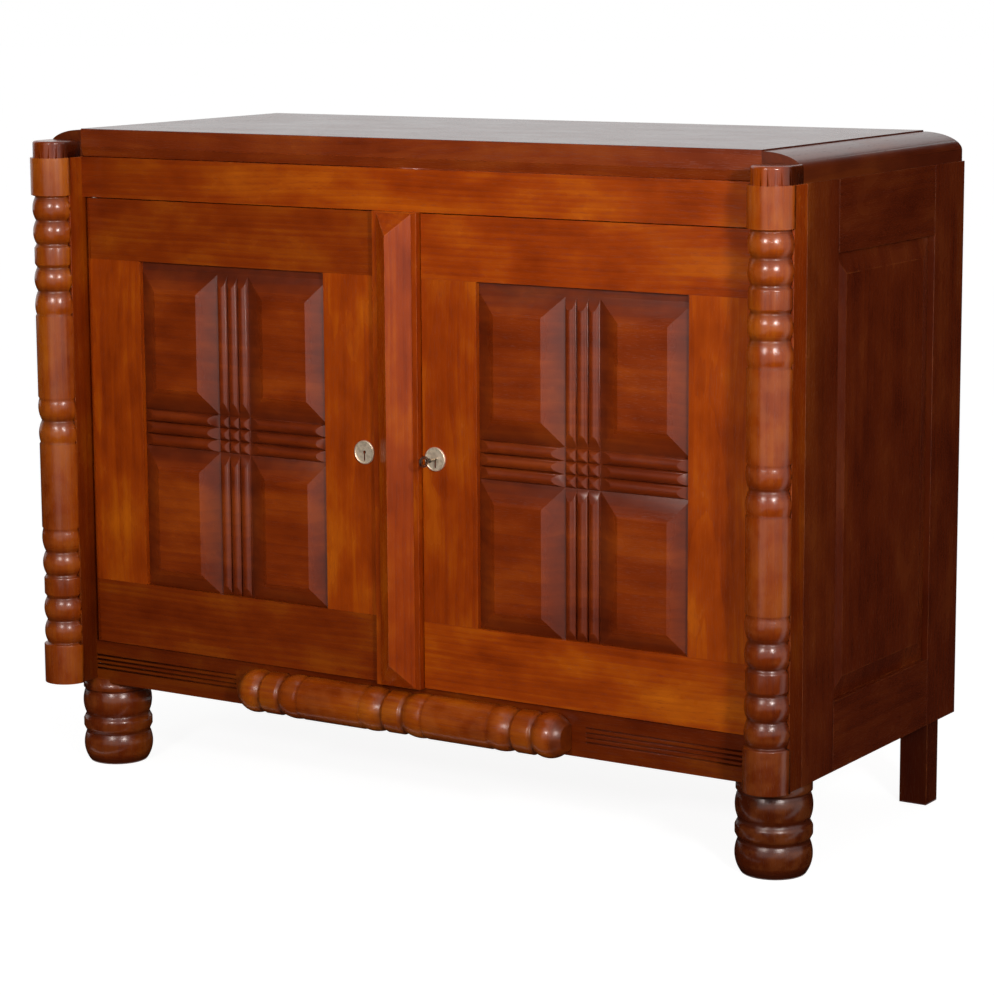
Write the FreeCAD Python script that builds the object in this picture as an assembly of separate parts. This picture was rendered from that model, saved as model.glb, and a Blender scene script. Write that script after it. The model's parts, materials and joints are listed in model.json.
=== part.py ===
import FreeCAD
import Part
import math
import os

# A low oak buffet cabinet: two panelled doors, a ridged batten between them, split
# columns on the front corners, a turned bobbin on the apron, turned front feet.
# Millimetres, +Z up, the front looks along -Y. The origin lies on the floor under the
# middle of the whole piece. "Right" is +X, the side of the door that holds the key.

# The case as a whole
case_width = 1305.0
case_depth = 508.0
case_height = 962.5
case_clear = 140.0

# Clearances, and how far a cut runs past the piece
seat_gap = 0.3
slide_gap = 0.1
pin_gap = 0.05
overrun = 5.0

# Front corner posts, rebated behind for the side frames
post_width = 65.0
post_proud = 30.0
post_shoulder = 8.0
post_leg = 28.0

# Split columns on the posts
column_end_radius = 34.5
column_bead_radius = 33.0
column_smooth_radius = 32.7
column_ring_radius = 31.7
column_neck_radius = 31.0
column_groove_radius = 28.0
column_foot_height = 63.0
column_head_height = 59.5
column_bead_height = 36.5
column_pair_bead_height = 34.5
column_ring_height = 36.0
column_ring_slope = 6.0
column_edge_slope = 2.5
column_lower_smooth_share = 0.51

# Top board, its end mouldings and the caps over the columns
top_thick = 43.0
top_edge_height = 28.0
top_chamfer = 4.0
top_joint_height = 1.0
top_edge_round = 2.0
top_back_setback = 3.0
moulding_width = 62.0
moulding_rise = 26.0
moulding_step = 2.0
moulding_side_setback = 3.0
cap_radius = 30.0
cap_height = 25.5
cap_round = 4.0

# Frieze rail over the doors
frieze_height = 61.5

# Apron rail under the doors, with stopped grooves beside the bobbin
apron_setback = 5.0
apron_thick = 22.0
apron_drop = 5.5
apron_rise = 62.0
groove_pitch = 7.0
groove_width = 3.2
groove_depth = 2.0
groove_count = 4
groove_top_inset = 24.0
groove_stop = 24.0

# Turned bobbin on the apron, planed flat behind
bobbin_length = 576.0
bobbin_rise = 28.5
bobbin_proud = 10.0
bobbin_end_bead = 46.0
bobbin_end_radius = 19.0
bobbin_bead_width = 38.0
bobbin_crest_share = 0.6

# Centre stile, the stop behind it and the ridged batten on it
stile_width = 77.0
stile_proud = 10.0
stop_width = 110.0
stop_thick = 17.7
batten_width = 61.0
batten_height = 25.0
batten_end_inset = 0.5
batten_top_inset = 2.0
batten_lower_hip = 36.5
batten_upper_hip = 31.0

# Doors
door_thick = 24.0
door_gap = 1.5
hinge_gap = 2.0
door_top_rail = 93.5
door_bottom_rail = 99.5
door_hinge_stile = 107.0
door_lock_stile = 93.5

# Door panels: raised fields round a reeded cross
panel_setback = 9.0
panel_base = 10.0
panel_tongue = 10.0
panel_relief = 13.0
panel_bevel = 34.0
panel_side_tuck = 2.75
panel_bottom_tuck = 6.5
panel_top_flat = 11.5
reed_pitch = 19.0
reed_crest = 8.0
reed_valley = 1.0
reed_count = 3
band_height_share = 0.492

# Pivot hinges: plates let into the door ends and into the rails
pivot_plate_thick = 2.0
pivot_plate_width = 12.0
pivot_plate_length = 40.0
pivot_pin_radius = 3.5
pivot_collar_radius = 5.8
pivot_pin_reach = 9.0
pivot_boss_radius = 5.5
pivot_boss_depth = 10.0

# Locks, escutcheons and the key
lock_height = 342.0
lock_inset = 22.3
lock_width = 50.0
lock_below = 22.0
lock_above = 32.0
lock_setback = 10.0
lock_wall = 2.0
bolt_thick = 6.0
bolt_tall = 9.0
bolt_length = 40.0
bolt_throw = 7.0
escutcheon_radius = 17.5
escutcheon_thick = 1.4
escutcheon_rim_width = 2.6
escutcheon_rim_rise = 1.2
keyhole_gap = 0.4
keyhole_slot = 2.6
key_stem_radius = 2.1
key_reach = 40.0
key_bow_length = 20.0
key_bow_tall = 16.5
key_bow_band = 3.2
key_bow_thick = 3.0
key_collar_radius = 3.6
key_collar_length = 2.5
key_bit_radius = 12.5
key_bit_length = 7.0
key_bit_thick = 1.8

# Side frames and their fielded panels
side_thick = 26.0
side_front_stile = 95.0
side_back_stile = 99.0
side_top_rail = 100.5
side_bottom_rail = 100.0
side_panel_setback = 3.0
side_panel_base = 8.0
side_panel_relief = 7.0
side_panel_bevel = 30.0
side_panel_tongue = 10.0

# Rear legs and the back frame between them
leg_width = 44.0
leg_depth = 38.0
back_thick = 20.0
back_top_rail = 100.5
back_bottom_rail = 100.0
back_muntin_width = 80.0
back_panel_thick = 8.0
back_panel_tongue = 8.0

# Boards inside and the strips that carry them
board_thick = 18.0
shelf_thick = 20.0
shelf_height = 545.0
shelf_setback = 60.0
cleat_size = 20.0

# Turned front feet and the blocks that take their dowels
foot_inset_x = 65.0
foot_inset_y = 53.0
foot_base_radius = 45.0
foot_bead_radius = 54.5
foot_groove_radius = 50.0
foot_neck_radius = 53.5
foot_ring_height = 29.0
foot_ring_slope = 9.0
foot_upper_bead_height = 41.0
foot_neck_height = 22.0
foot_neck_slope = 2.0
foot_crest_share = 0.604
foot_dowel_radius = 12.0
foot_dowel_length = 30.0
foot_block_width = 94.0

# Places that several pieces share
half_width = case_width / 2
half_turn = 180
full_turn = 360
face_y = -(case_depth - post_proud - column_end_radius) / 2
back_y = face_y + case_depth
post_front_y = face_y - post_proud
rebate_y = face_y + post_shoulder
post_back_y = rebate_y + post_leg
post_inner_x = half_width - post_width
side_inner_x = half_width - side_thick
column_x = half_width - post_width / 2
top_z = case_height + top_thick
top_back_y = back_y - top_back_setback
top_half = half_width - moulding_side_setback - moulding_width
apron_y = face_y + apron_setback
apron_back_y = apron_y + apron_thick
apron_z = case_clear - apron_drop
apron_top_z = case_clear + apron_rise
frieze_z = case_height - frieze_height
door_back_y = face_y + door_thick
stop_y = door_back_y + seat_gap
door_z = apron_top_z + door_gap
door_top_z = frieze_z - door_gap
door_edge_x = stile_width / 2 + door_gap
door_end_x = post_inner_x - hinge_gap
pivot_x = door_end_x - door_thick / 2
pivot_y = face_y + door_thick / 2
open_x = door_edge_x + door_lock_stile
open_end_x = door_end_x - door_hinge_stile
open_z = door_z + door_bottom_rail
open_top_z = door_top_z - door_top_rail
key_x = door_edge_x + lock_inset
key_z = door_z + lock_height
lock_y = face_y + lock_setback
bolt_y = (lock_y + door_back_y) / 2
bolt_z = key_z + key_bit_radius + lock_wall
keyhole_radius = key_stem_radius + keyhole_gap
leg_inner_x = side_inner_x - leg_width
leg_front_y = back_y - leg_depth
back_front_y = back_y - back_thick
foot_x = half_width - foot_inset_x
foot_y = face_y + foot_inset_y
x_axis = FreeCAD.Vector(1, 0, 0)
y_axis = FreeCAD.Vector(0, 1, 0)
z_axis = FreeCAD.Vector(0, 0, 1)
origin = FreeCAD.Vector(0, 0, 0)

pieces = {}


def point(x, y, z):
    return FreeCAD.Vector(x, y, z)


def block(x0, x1, y0, y1, z0, z1):
    return Part.makeBox(x1 - x0, y1 - y0, z1 - z0, point(x0, y0, z0))


def mirrored(shape):
    return shape.mirror(origin, x_axis)


def both_sides(name, shape):
    pieces[name + "_right"] = shape
    pieces[name + "_left"] = mirrored(shape)


def joined(*shapes):
    whole = shapes[0]
    for shape in shapes[1:]:
        whole = whole.fuse(shape)
    return whole.removeSplitter()


# A flat face inside an outline. Each step runs on from the last one: two numbers are
# the end of a straight line, four are the middle and the end of an arc.
def outlined(start, steps, place):
    edges = []
    here = start
    for step in steps:
        end = step[-2:]
        if len(step) == 4:
            arc = Part.Arc(place(*here), place(*step[:2]), place(*end))
            edges.append(arc.toShape())
        else:
            edges.append(Part.LineSegment(place(*here), place(*end)).toShape())
        here = end
    edges.append(Part.LineSegment(place(*here), place(*start)).toShape())
    return Part.Face(Part.Wire(edges))


# One bead of a turning: an arc from the last groove over its crest to the next.
def add_bead(steps, height, crest, end_radius, crest_share=0.5):
    z = steps[-1][-2]
    steps.append((z + height * crest_share, crest, z + height, end_radius))


# A flat ring, or a plain length with sloped ends, from the last groove to the next.
def add_ring(steps, height, crest, end_radius, slope):
    z = steps[-1][-2]
    steps.append((z + slope, crest))
    steps.append((z + height - slope, crest))
    steps.append((z + height, end_radius))


# A turned piece along +Z from its outline. Half a turn gives a split turning whose
# flat side faces +Y.
def turned(steps, height, angle):
    face = outlined((0, 0), steps + [(height, 0)], lambda z, r: point(r, 0, z))
    return face.revolve(origin, -z_axis, angle)


# Five sections of a column: two beads, a flat ring, two beads.
def add_five(steps, last_radius):
    groove = column_groove_radius
    for section in range(5):
        end = last_radius if section == 4 else groove
        if section == 2:
            add_ring(steps, column_ring_height, column_ring_radius, end, column_ring_slope)
        else:
            add_bead(steps, column_bead_height, column_bead_radius, end)


def column():
    height = case_height - case_clear
    five_height = 4 * column_bead_height + column_ring_height
    turned_height = 2 * five_height + 2 * column_pair_bead_height
    smooth_height = height - column_foot_height - column_head_height - turned_height
    lower_smooth = smooth_height * column_lower_smooth_share
    slope = column_edge_slope
    steps = [(0, column_end_radius)]
    steps.append((column_foot_height - slope, column_end_radius))
    steps.append((column_foot_height, column_groove_radius))
    add_five(steps, column_neck_radius)
    add_ring(steps, lower_smooth, column_smooth_radius, column_neck_radius, slope)
    add_bead(steps, column_pair_bead_height, column_bead_radius, column_groove_radius)
    add_bead(steps, column_pair_bead_height, column_bead_radius, column_neck_radius)
    upper_smooth = smooth_height - lower_smooth
    add_ring(steps, upper_smooth, column_smooth_radius, column_neck_radius, slope)
    add_five(steps, column_groove_radius)
    head_z = height - column_head_height
    steps.append((head_z + slope, column_end_radius))
    steps.append((height, column_end_radius))
    shape = turned(steps, height, half_turn)
    shape.translate(point(column_x, post_front_y, case_clear))
    return shape


def front_post():
    front = block(post_inner_x, half_width, post_front_y, rebate_y, case_clear, case_height)
    leg = block(post_inner_x, side_inner_x, rebate_y, post_back_y, case_clear, case_height)
    return joined(front, leg)


def top_board():
    edge_z = top_z - top_edge_height
    foot_z = case_height + top_joint_height
    steps = [(top_back_y, case_height), (face_y + top_chamfer, case_height)]
    steps += [(face_y + top_chamfer, foot_z), (face_y, edge_z), (face_y, top_z)]
    face = outlined((top_back_y, top_z), steps, lambda y, z: point(-top_half, y, z))
    shape = face.extrude(x_axis * (top_half + top_half))
    front_edges = []
    for edge in shape.Edges:
        box = edge.BoundBox
        if box.YMax < face_y + top_chamfer / 2 and box.ZMin > top_z - top_chamfer / 2:
            front_edges.append(edge)
    return shape.makeFillet(top_edge_round, front_edges)


# End moulding of the top: a quarter of an ellipse over a short upright edge.
def top_moulding():
    crown_z = top_z - moulding_step
    shoulder_z = crown_z - moulding_rise
    outer_x = top_half + moulding_width
    centre = point(top_half, face_y, shoulder_z)
    tip = point(outer_x, face_y, shoulder_z)
    crown = point(top_half, face_y, crown_z)
    ellipse = Part.Ellipse(tip, crown, centre)
    curve = Part.ArcOfEllipse(ellipse, 0, math.pi / 2).toShape()
    foot = point(top_half, face_y, case_height)
    outer_foot = point(outer_x, face_y, case_height)
    edges = [curve, Part.LineSegment(crown, foot).toShape()]
    edges.append(Part.LineSegment(foot, outer_foot).toShape())
    edges.append(Part.LineSegment(outer_foot, tip).toShape())
    face = Part.Face(Part.Wire(Part.__sortEdges__(edges)))
    return face.extrude(y_axis * (top_back_y - face_y))


# Boss over a column: half a disc with straight sides back to the top.
def corner_cap():
    axis = point(column_x, post_front_y, case_height)
    disc = Part.makeCylinder(cap_radius, cap_height, axis)
    sides = block(column_x - cap_radius, column_x + cap_radius, post_front_y, face_y,
                  case_height, case_height + cap_height)
    whole = joined(disc, sides)
    keep = block(column_x - cap_radius - overrun, column_x + cap_radius + overrun,
                 post_front_y - cap_radius - overrun, face_y,
                 case_height, case_height + cap_height)
    whole = whole.common(keep).removeSplitter()
    rim = []
    for edge in whole.Edges:
        box = edge.BoundBox
        on_top = box.ZMin > case_height + cap_height / 2
        if on_top and box.YMin < face_y - cap_round / 2:
            rim.append(edge)
    return whole.makeFillet(cap_round, rim)


# Outline of a plate let in for a pivot: square at one end, round about the pin.
def pivot_plate(z0, z1, growth):
    radius = pivot_plate_width / 2 + growth
    plate = block(pivot_x - pivot_plate_length - growth, pivot_x, pivot_y - radius,
                  pivot_y + radius, z0, z1)
    head = Part.makeCylinder(radius, z1 - z0, point(pivot_x, pivot_y, z0))
    return joined(plate, head)


# Plate and boss let into a rail. The boss runs from the rail's edge into the wood.
def hinge_socket(edge_z, into_wood):
    plate_z = edge_z + into_wood * pivot_plate_thick
    boss_z = edge_z + into_wood * pivot_boss_depth
    plate = pivot_plate(min(edge_z, plate_z), max(edge_z, plate_z), 0)
    low_z = min(edge_z, boss_z)
    boss = Part.makeCylinder(pivot_boss_radius, pivot_boss_depth, point(pivot_x, pivot_y, low_z))
    whole = joined(plate, boss)
    hole = Part.makeCylinder(pivot_pin_radius + pin_gap, pivot_boss_depth,
                             point(pivot_x, pivot_y, low_z))
    return whole.cut(hole)


# Room in a rail for a hinge socket on each side.
def socket_room(edge_z, into_wood):
    plate_z = edge_z + into_wood * pivot_plate_thick
    boss_z = edge_z + into_wood * pivot_boss_depth
    plate = pivot_plate(min(edge_z, plate_z), max(edge_z, plate_z), 0)
    boss = Part.makeCylinder(pivot_boss_radius, pivot_boss_depth,
                             point(pivot_x, pivot_y, min(edge_z, boss_z)))
    room = joined(plate, boss)
    return Part.makeCompound([room, mirrored(room)])


def frieze_rail():
    rail = block(-post_inner_x, post_inner_x, face_y, door_back_y, frieze_z, case_height)
    return rail.cut(socket_room(frieze_z, 1))


# One pointed groove along +X in the front face of the apron.
def apron_groove(x0, x1, z):
    steps = [(apron_y + groove_depth, z), (apron_y, z + groove_width / 2)]
    steps.append((apron_y - groove_depth, z))
    face = outlined((apron_y, z - groove_width / 2), steps, lambda y, h: point(x0, y, h))
    return face.extrude(x_axis * (x1 - x0))


def apron_rail():
    rail = block(-post_inner_x, post_inner_x, apron_y, apron_back_y, apron_z, apron_top_z)
    rail = rail.cut(socket_room(apron_top_z, -1))
    stop_x = bobbin_length / 2 + groove_stop
    for index in range(groove_count):
        z = apron_top_z - groove_top_inset - index * groove_pitch
        cutter = apron_groove(stop_x, post_inner_x + overrun, z)
        rail = rail.cut(Part.makeCompound([cutter, mirrored(cutter)]))
    for side in (-1, 1):
        centre = point(side * foot_x, foot_y, apron_z - overrun)
        room = Part.makeCylinder(foot_neck_radius + seat_gap, apron_drop + overrun, centre)
        rail = rail.cut(room)
    return rail


# The bobbin is turned to the same section as the columns and laid along X.
def apron_bobbin():
    beads = bobbin_end_bead + column_ring_height + 2 * bobbin_bead_width
    smooth = (bobbin_length - column_ring_height - 2 * beads) / 2
    groove = column_groove_radius
    crest = column_bead_radius
    neck = column_neck_radius
    steps = [(0, bobbin_end_radius)]
    add_bead(steps, bobbin_end_bead, crest, groove, bobbin_crest_share)
    add_ring(steps, column_ring_height, column_ring_radius, groove, column_ring_slope)
    add_bead(steps, bobbin_bead_width, crest, neck)
    add_ring(steps, smooth, column_smooth_radius, neck, column_edge_slope)
    add_bead(steps, bobbin_bead_width, crest, groove)
    add_ring(steps, column_ring_height, column_ring_radius, groove, column_ring_slope)
    add_bead(steps, bobbin_bead_width, crest, neck)
    add_ring(steps, smooth, column_smooth_radius, neck, column_edge_slope)
    add_bead(steps, bobbin_bead_width, crest, groove)
    add_ring(steps, column_ring_height, column_ring_radius, groove, column_ring_slope)
    add_bead(steps, bobbin_end_bead, crest, bobbin_end_radius, 1 - bobbin_crest_share)
    shape = turned(steps, bobbin_length, full_turn)
    shape.rotate(origin, y_axis, 90)
    shape.translate(point(-bobbin_length / 2, apron_y - bobbin_proud, apron_z + bobbin_rise))
    half = bobbin_length / 2 + overrun
    high_z = apron_z + bobbin_rise + crest + overrun
    behind = block(-half, half, apron_y, apron_y + crest, apron_z - crest, high_z)
    return shape.cut(behind)


# Space that a bolt needs in the centre stile, with its mouth at the door.
def bolt_mortise():
    gap = door_gap + seat_gap
    return block(door_edge_x - bolt_throw - gap, stile_width / 2 + overrun,
                 bolt_y - bolt_thick / 2 - seat_gap, bolt_y + bolt_thick / 2 + seat_gap,
                 bolt_z - seat_gap, bolt_z + bolt_tall + seat_gap)


def centre_stile():
    half = stile_width / 2
    shape = block(-half, half, face_y - stile_proud, stop_y, apron_top_z, frieze_z)
    mortise = bolt_mortise()
    return shape.cut(Part.makeCompound([mortise, mirrored(mortise)]))


def centre_stop():
    half = stop_width / 2
    return block(-half, half, stop_y, stop_y + stop_thick, apron_top_z, frieze_z)


# The wood that lies inside two outlines at once: one across, run upwards, and one
# upwards, run across. Heights point towards -Y from the plane at y.
def relief(across, across_steps, upright, upright_steps, y):
    low_z = min(step[-2] for step in upright_steps + [upright])
    high_z = max(step[-2] for step in upright_steps + [upright])
    low_x = min(step[-2] for step in across_steps + [across])
    high_x = max(step[-2] for step in across_steps + [across])
    flat = outlined(across, across_steps, lambda x, h: point(x, y - h, low_z))
    standing = outlined(upright, upright_steps, lambda z, h: point(low_x, y - h, z))
    first = flat.extrude(z_axis * (high_z - low_z))
    second = standing.extrude(x_axis * (high_x - low_x))
    return first.common(second).removeSplitter()


# Batten with a ridge and hipped ends.
def centre_batten():
    half = batten_width / 2
    low_z = apron_top_z + batten_end_inset
    high_z = frieze_z - batten_top_inset
    ridge_z = low_z + batten_lower_hip
    ridge_top_z = high_z - batten_upper_hip
    hips = [(ridge_z, batten_height), (ridge_top_z, batten_height), (high_z, 0)]
    slopes = [(0, batten_height), (half, 0)]
    return relief((-half, 0), slopes, (low_z, 0), hips, face_y - stile_proud)


# Steps over a group of reeds whose middle lies at the given place.
def reed_steps(middle, base):
    steps = []
    first = middle - reed_count * reed_pitch / 2
    for index in range(reed_count):
        start = first + index * reed_pitch
        crest = (start + reed_pitch / 2, base + reed_crest)
        steps.append(crest + (start + reed_pitch, base + reed_valley))
    return steps


# Outline over one direction of a door panel: tongue, field, reeds, field, tongue.
def panel_outline(start, end, foot, last_foot, middle):
    base = panel_base
    field = base + panel_relief
    slope = panel_relief / panel_bevel
    half = reed_count * reed_pitch / 2
    steps = [(start - panel_tongue, base), (start + seat_gap, base)]
    rise = max(0, (start + seat_gap - foot) * slope)
    if rise > 0:
        steps.append((start + seat_gap, base + rise))
    else:
        steps.append((foot, base))
    steps.append((foot + panel_bevel, field))
    steps.append((middle - half - panel_bevel, field))
    steps.append((middle - half, base + reed_valley))
    steps += reed_steps(middle, base)
    steps.append((middle + half + panel_bevel, field))
    steps.append((last_foot - panel_bevel, field))
    drop = max(0, (last_foot - end + seat_gap) * slope)
    if drop > 0:
        steps.append((end - seat_gap, base + drop))
        steps.append((end - seat_gap, base))
    else:
        steps.append((last_foot, base))
    steps.append((end + panel_tongue, base))
    steps.append((end + panel_tongue, 0))
    return (start - panel_tongue, 0), steps


def door_panel():
    middle_x = (open_x + open_end_x) / 2
    middle_z = open_z + (open_top_z - open_z) * band_height_share
    across, across_steps = panel_outline(open_x, open_end_x, open_x - panel_side_tuck,
                                         open_end_x + panel_side_tuck, middle_x)
    upright, upright_steps = panel_outline(open_z, open_top_z, open_z - panel_bottom_tuck,
                                           open_top_z - panel_top_flat, middle_z)
    back = face_y + panel_setback + panel_base
    return relief(across, across_steps, upright, upright_steps, back)


# Groove that the edges of a door panel sit in.
def door_groove():
    reach = panel_tongue + seat_gap
    y0 = face_y + panel_setback
    return block(open_x - reach, open_end_x + reach, y0, y0 + panel_base,
                 open_z - reach, open_top_z + reach)


# Length of door from an edge to the round end that turns about the pivots.
def round_ended(x0, z0, z1):
    flat = block(x0, pivot_x, face_y, door_back_y, z0, z1)
    end = Part.makeCylinder(door_thick / 2, z1 - z0, point(pivot_x, pivot_y, z0))
    return joined(flat, end)


def door_rails():
    groove = door_groove()
    low = round_ended(door_edge_x, door_z, open_z).cut(groove)
    high = round_ended(door_edge_x, open_top_z, door_top_z).cut(groove)
    plate = pivot_plate_thick
    low = low.cut(pivot_plate(door_z, door_z + plate, 0))
    high = high.cut(pivot_plate(door_top_z - plate, door_top_z, 0))
    return low, high


# Plates on the ends of the door, each with a collar and a pin.
def pivot_plates():
    collar = door_gap - seat_gap
    low_plate = pivot_plate(door_z, door_z + pivot_plate_thick, 0)
    high_plate = pivot_plate(door_top_z - pivot_plate_thick, door_top_z, 0)
    low_collar = Part.makeCylinder(pivot_collar_radius, collar,
                                   point(pivot_x, pivot_y, door_z - collar))
    high_collar = Part.makeCylinder(pivot_collar_radius, collar,
                                    point(pivot_x, pivot_y, door_top_z))
    low_pin = Part.makeCylinder(pivot_pin_radius, pivot_pin_reach,
                                point(pivot_x, pivot_y, door_z - pivot_pin_reach))
    high_pin = Part.makeCylinder(pivot_pin_radius, pivot_pin_reach,
                                 point(pivot_x, pivot_y, door_top_z))
    low = joined(low_plate, low_collar, low_pin)
    high = joined(high_plate, high_collar, high_pin)
    return Part.makeCompound([low, high])


# Keyhole: a round hole with a slot below it that lets the bit of the key through.
def keyhole(y0, y1):
    round_hole = Part.makeCylinder(keyhole_radius, y1 - y0, point(key_x, y0, key_z), y_axis)
    slot = block(key_x - keyhole_slot / 2, key_x + keyhole_slot / 2, y0, y1,
                 key_z - key_bit_radius - keyhole_gap, key_z)
    return joined(round_hole, slot)


def lock_stile():
    stile = block(door_edge_x, open_x, face_y, door_back_y, open_z, open_top_z)
    stile = stile.cut(door_groove())
    recess = block(door_edge_x - overrun, door_edge_x + lock_width + seat_gap, lock_y,
                   door_back_y + overrun, key_z - lock_below - seat_gap,
                   key_z + lock_above + seat_gap)
    return stile.cut(recess).cut(keyhole(face_y - overrun, lock_y + overrun))


def hinge_stile():
    return round_ended(open_end_x, open_z, open_top_z).cut(door_groove())


# Lock let into the back of the stile, hollow for the bolt and the turning bit.
def lock_case():
    body = block(door_edge_x, door_edge_x + lock_width, lock_y, door_back_y,
                 key_z - lock_below, key_z + lock_above)
    room_length = door_back_y - lock_y - 2 * lock_wall
    room = Part.makeCylinder(key_bit_radius + keyhole_gap, room_length,
                             point(key_x, lock_y + lock_wall, key_z), y_axis)
    stem_hole = Part.makeCylinder(key_stem_radius + pin_gap, door_back_y - lock_y,
                                  point(key_x, lock_y, key_z), y_axis)
    half = bolt_thick / 2 + slide_gap
    channel = block(door_edge_x, door_edge_x + bolt_length + seat_gap + slide_gap,
                    bolt_y - half, bolt_y + half, bolt_z - slide_gap,
                    bolt_z + bolt_tall + slide_gap)
    body = body.cut(room).cut(stem_hole).cut(channel)
    return body.cut(keyhole(lock_y, lock_y + lock_wall))


def bolt():
    start = door_edge_x + slide_gap
    return block(start, start + bolt_length, bolt_y - bolt_thick / 2,
                 bolt_y + bolt_thick / 2, bolt_z, bolt_z + bolt_tall)


# Round plate with a raised rim and a slightly dished middle.
def escutcheon():
    rim = escutcheon_radius - escutcheon_rim_width
    crest = escutcheon_radius - escutcheon_rim_width / 2
    top = escutcheon_thick + escutcheon_rim_rise
    steps = [(0, escutcheon_radius), (escutcheon_thick, escutcheon_radius)]
    steps.append((top, crest, escutcheon_thick, rim))
    steps.append((escutcheon_thick - escutcheon_rim_rise / 4, 0))
    face = outlined((0, 0), steps, lambda h, r: point(key_x + r, face_y - h, key_z))
    plate = face.revolve(point(key_x, face_y, key_z), y_axis, full_turn)
    return plate.cut(keyhole(face_y - top - overrun, face_y + overrun))


# Key in its lock: an oval bow, a collar outside the plate, the stem, and the bit
# inside the lock case.
def key():
    bow_y = face_y - key_reach
    bow_middle = point(key_x - key_bow_thick / 2, bow_y + key_bow_length / 2, key_z)
    outer = Part.Ellipse(bow_middle + y_axis * (key_bow_length / 2),
                         bow_middle + z_axis * (key_bow_tall / 2), bow_middle)
    inner = Part.Ellipse(bow_middle + y_axis * (key_bow_length / 2 - key_bow_band),
                         bow_middle + z_axis * (key_bow_tall / 2 - key_bow_band), bow_middle)
    disc = Part.Face(Part.Wire(outer.toShape())).extrude(x_axis * key_bow_thick)
    hole = Part.Face(Part.Wire(inner.toShape())).extrude(x_axis * key_bow_thick)
    bow = disc.cut(hole)
    stem_y = bow_y + key_bow_length - key_bow_band / 2
    tip_y = door_back_y - seat_gap
    stem = Part.makeCylinder(key_stem_radius, tip_y - stem_y, point(key_x, stem_y, key_z), y_axis)
    collar = Part.makeCylinder(key_collar_radius, key_collar_length,
                               point(key_x, bow_y + key_bow_length + key_collar_length, key_z),
                               y_axis)
    bit_y = (lock_y + door_back_y - key_bit_length) / 2
    bit = block(key_x - key_bit_thick / 2, key_x + key_bit_thick / 2, bit_y,
                bit_y + key_bit_length, key_z - key_bit_radius, key_z)
    return joined(stem, bow, collar, bit)


# Outline over one direction of a side panel, from the left tongue to the right one.
def side_outline(start, end):
    base = side_panel_base
    inner = start + seat_gap
    outer = end - seat_gap
    field = base + side_panel_relief
    steps = [(start - side_panel_tongue, base), (inner, base)]
    steps += [(inner + side_panel_bevel, field), (outer - side_panel_bevel, field)]
    steps += [(outer, base), (end + side_panel_tongue, base), (end + side_panel_tongue, 0)]
    return (start - side_panel_tongue, 0), steps


# Side frame: two stiles, two rails and a fielded panel in their grooves.
def side_frame():
    y0 = rebate_y + side_front_stile
    y1 = back_y - side_back_stile
    z0 = case_clear + side_bottom_rail
    z1 = case_height - side_top_rail
    panel_x = half_width - side_panel_setback - side_panel_relief - side_panel_base
    reach = side_panel_tongue + seat_gap
    groove = block(panel_x, panel_x + side_panel_base, y0 - reach, y1 + reach,
                   z0 - reach, z1 + reach)
    front = block(side_inner_x, half_width, rebate_y, y0, case_clear, case_height)
    back = block(side_inner_x, half_width, y1, back_y, case_clear, case_height)
    high = block(side_inner_x, half_width, y0, y1, z1, case_height)
    low = block(side_inner_x, half_width, y0, y1, case_clear, z0)
    both_sides("side_front_stile", front.cut(groove))
    both_sides("side_back_stile", back.cut(groove))
    both_sides("side_top_rail", high.cut(groove))
    both_sides("side_bottom_rail", low.cut(groove))
    across, across_steps = side_outline(y0, y1)
    upright, upright_steps = side_outline(z0, z1)
    panel = relief(across, across_steps, upright, upright_steps, 0)
    panel.rotate(origin, z_axis, 90)
    panel.translate(point(panel_x, 0, 0))
    both_sides("side_panel", panel)


def rear_leg():
    return block(leg_inner_x, side_inner_x, leg_front_y, back_y, 0, case_height)


# Back frame between the rear legs, with two thin panels beside a muntin.
def back_frame():
    z0 = case_clear + back_bottom_rail
    z1 = case_height - back_top_rail
    half = back_muntin_width / 2
    panel_y = back_y - (back_thick + back_panel_thick) / 2
    panel_end_y = panel_y + back_panel_thick
    tongue = back_panel_tongue
    reach = tongue + seat_gap
    panel = block(half - tongue, leg_inner_x - seat_gap, panel_y, panel_end_y,
                  z0 - tongue, z1 + tongue)
    room = block(half - reach, leg_inner_x, panel_y, panel_end_y, z0 - reach, z1 + reach)
    rooms = Part.makeCompound([room, mirrored(room)])
    high = block(-leg_inner_x, leg_inner_x, back_front_y, back_y, z1, case_height)
    low = block(-leg_inner_x, leg_inner_x, back_front_y, back_y, case_clear, z0)
    middle = block(-half, half, back_front_y, back_y, z0, z1)
    pieces["back_top_rail"] = high.cut(rooms)
    pieces["back_bottom_rail"] = low.cut(rooms)
    pieces["back_muntin"] = middle.cut(rooms)
    pieces["back_panels"] = Part.makeCompound([panel, mirrored(panel)])


# A board from side to side, cut away round the rear legs and the front posts.
def inner_board(front_y, z, thick):
    board = block(-side_inner_x, side_inner_x, front_y, back_front_y, z, z + thick)
    for side in (-1, 1):
        ends = sorted((side * post_inner_x, side * (side_inner_x + overrun)))
        board = board.cut(block(ends[0], ends[1], post_front_y, post_back_y,
                                z - overrun, z + thick + overrun))
        ends = sorted((side * leg_inner_x, side * (side_inner_x + overrun)))
        board = board.cut(block(ends[0], ends[1], leg_front_y, back_y + overrun,
                                z - overrun, z + thick + overrun))
    return board


# A pair of strips on the side frames, with their upper faces at the given height.
def cleats(z, y0):
    strip = block(side_inner_x - cleat_size, side_inner_x, y0, leg_front_y, z - cleat_size, z)
    return Part.makeCompound([strip, mirrored(strip)])


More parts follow.
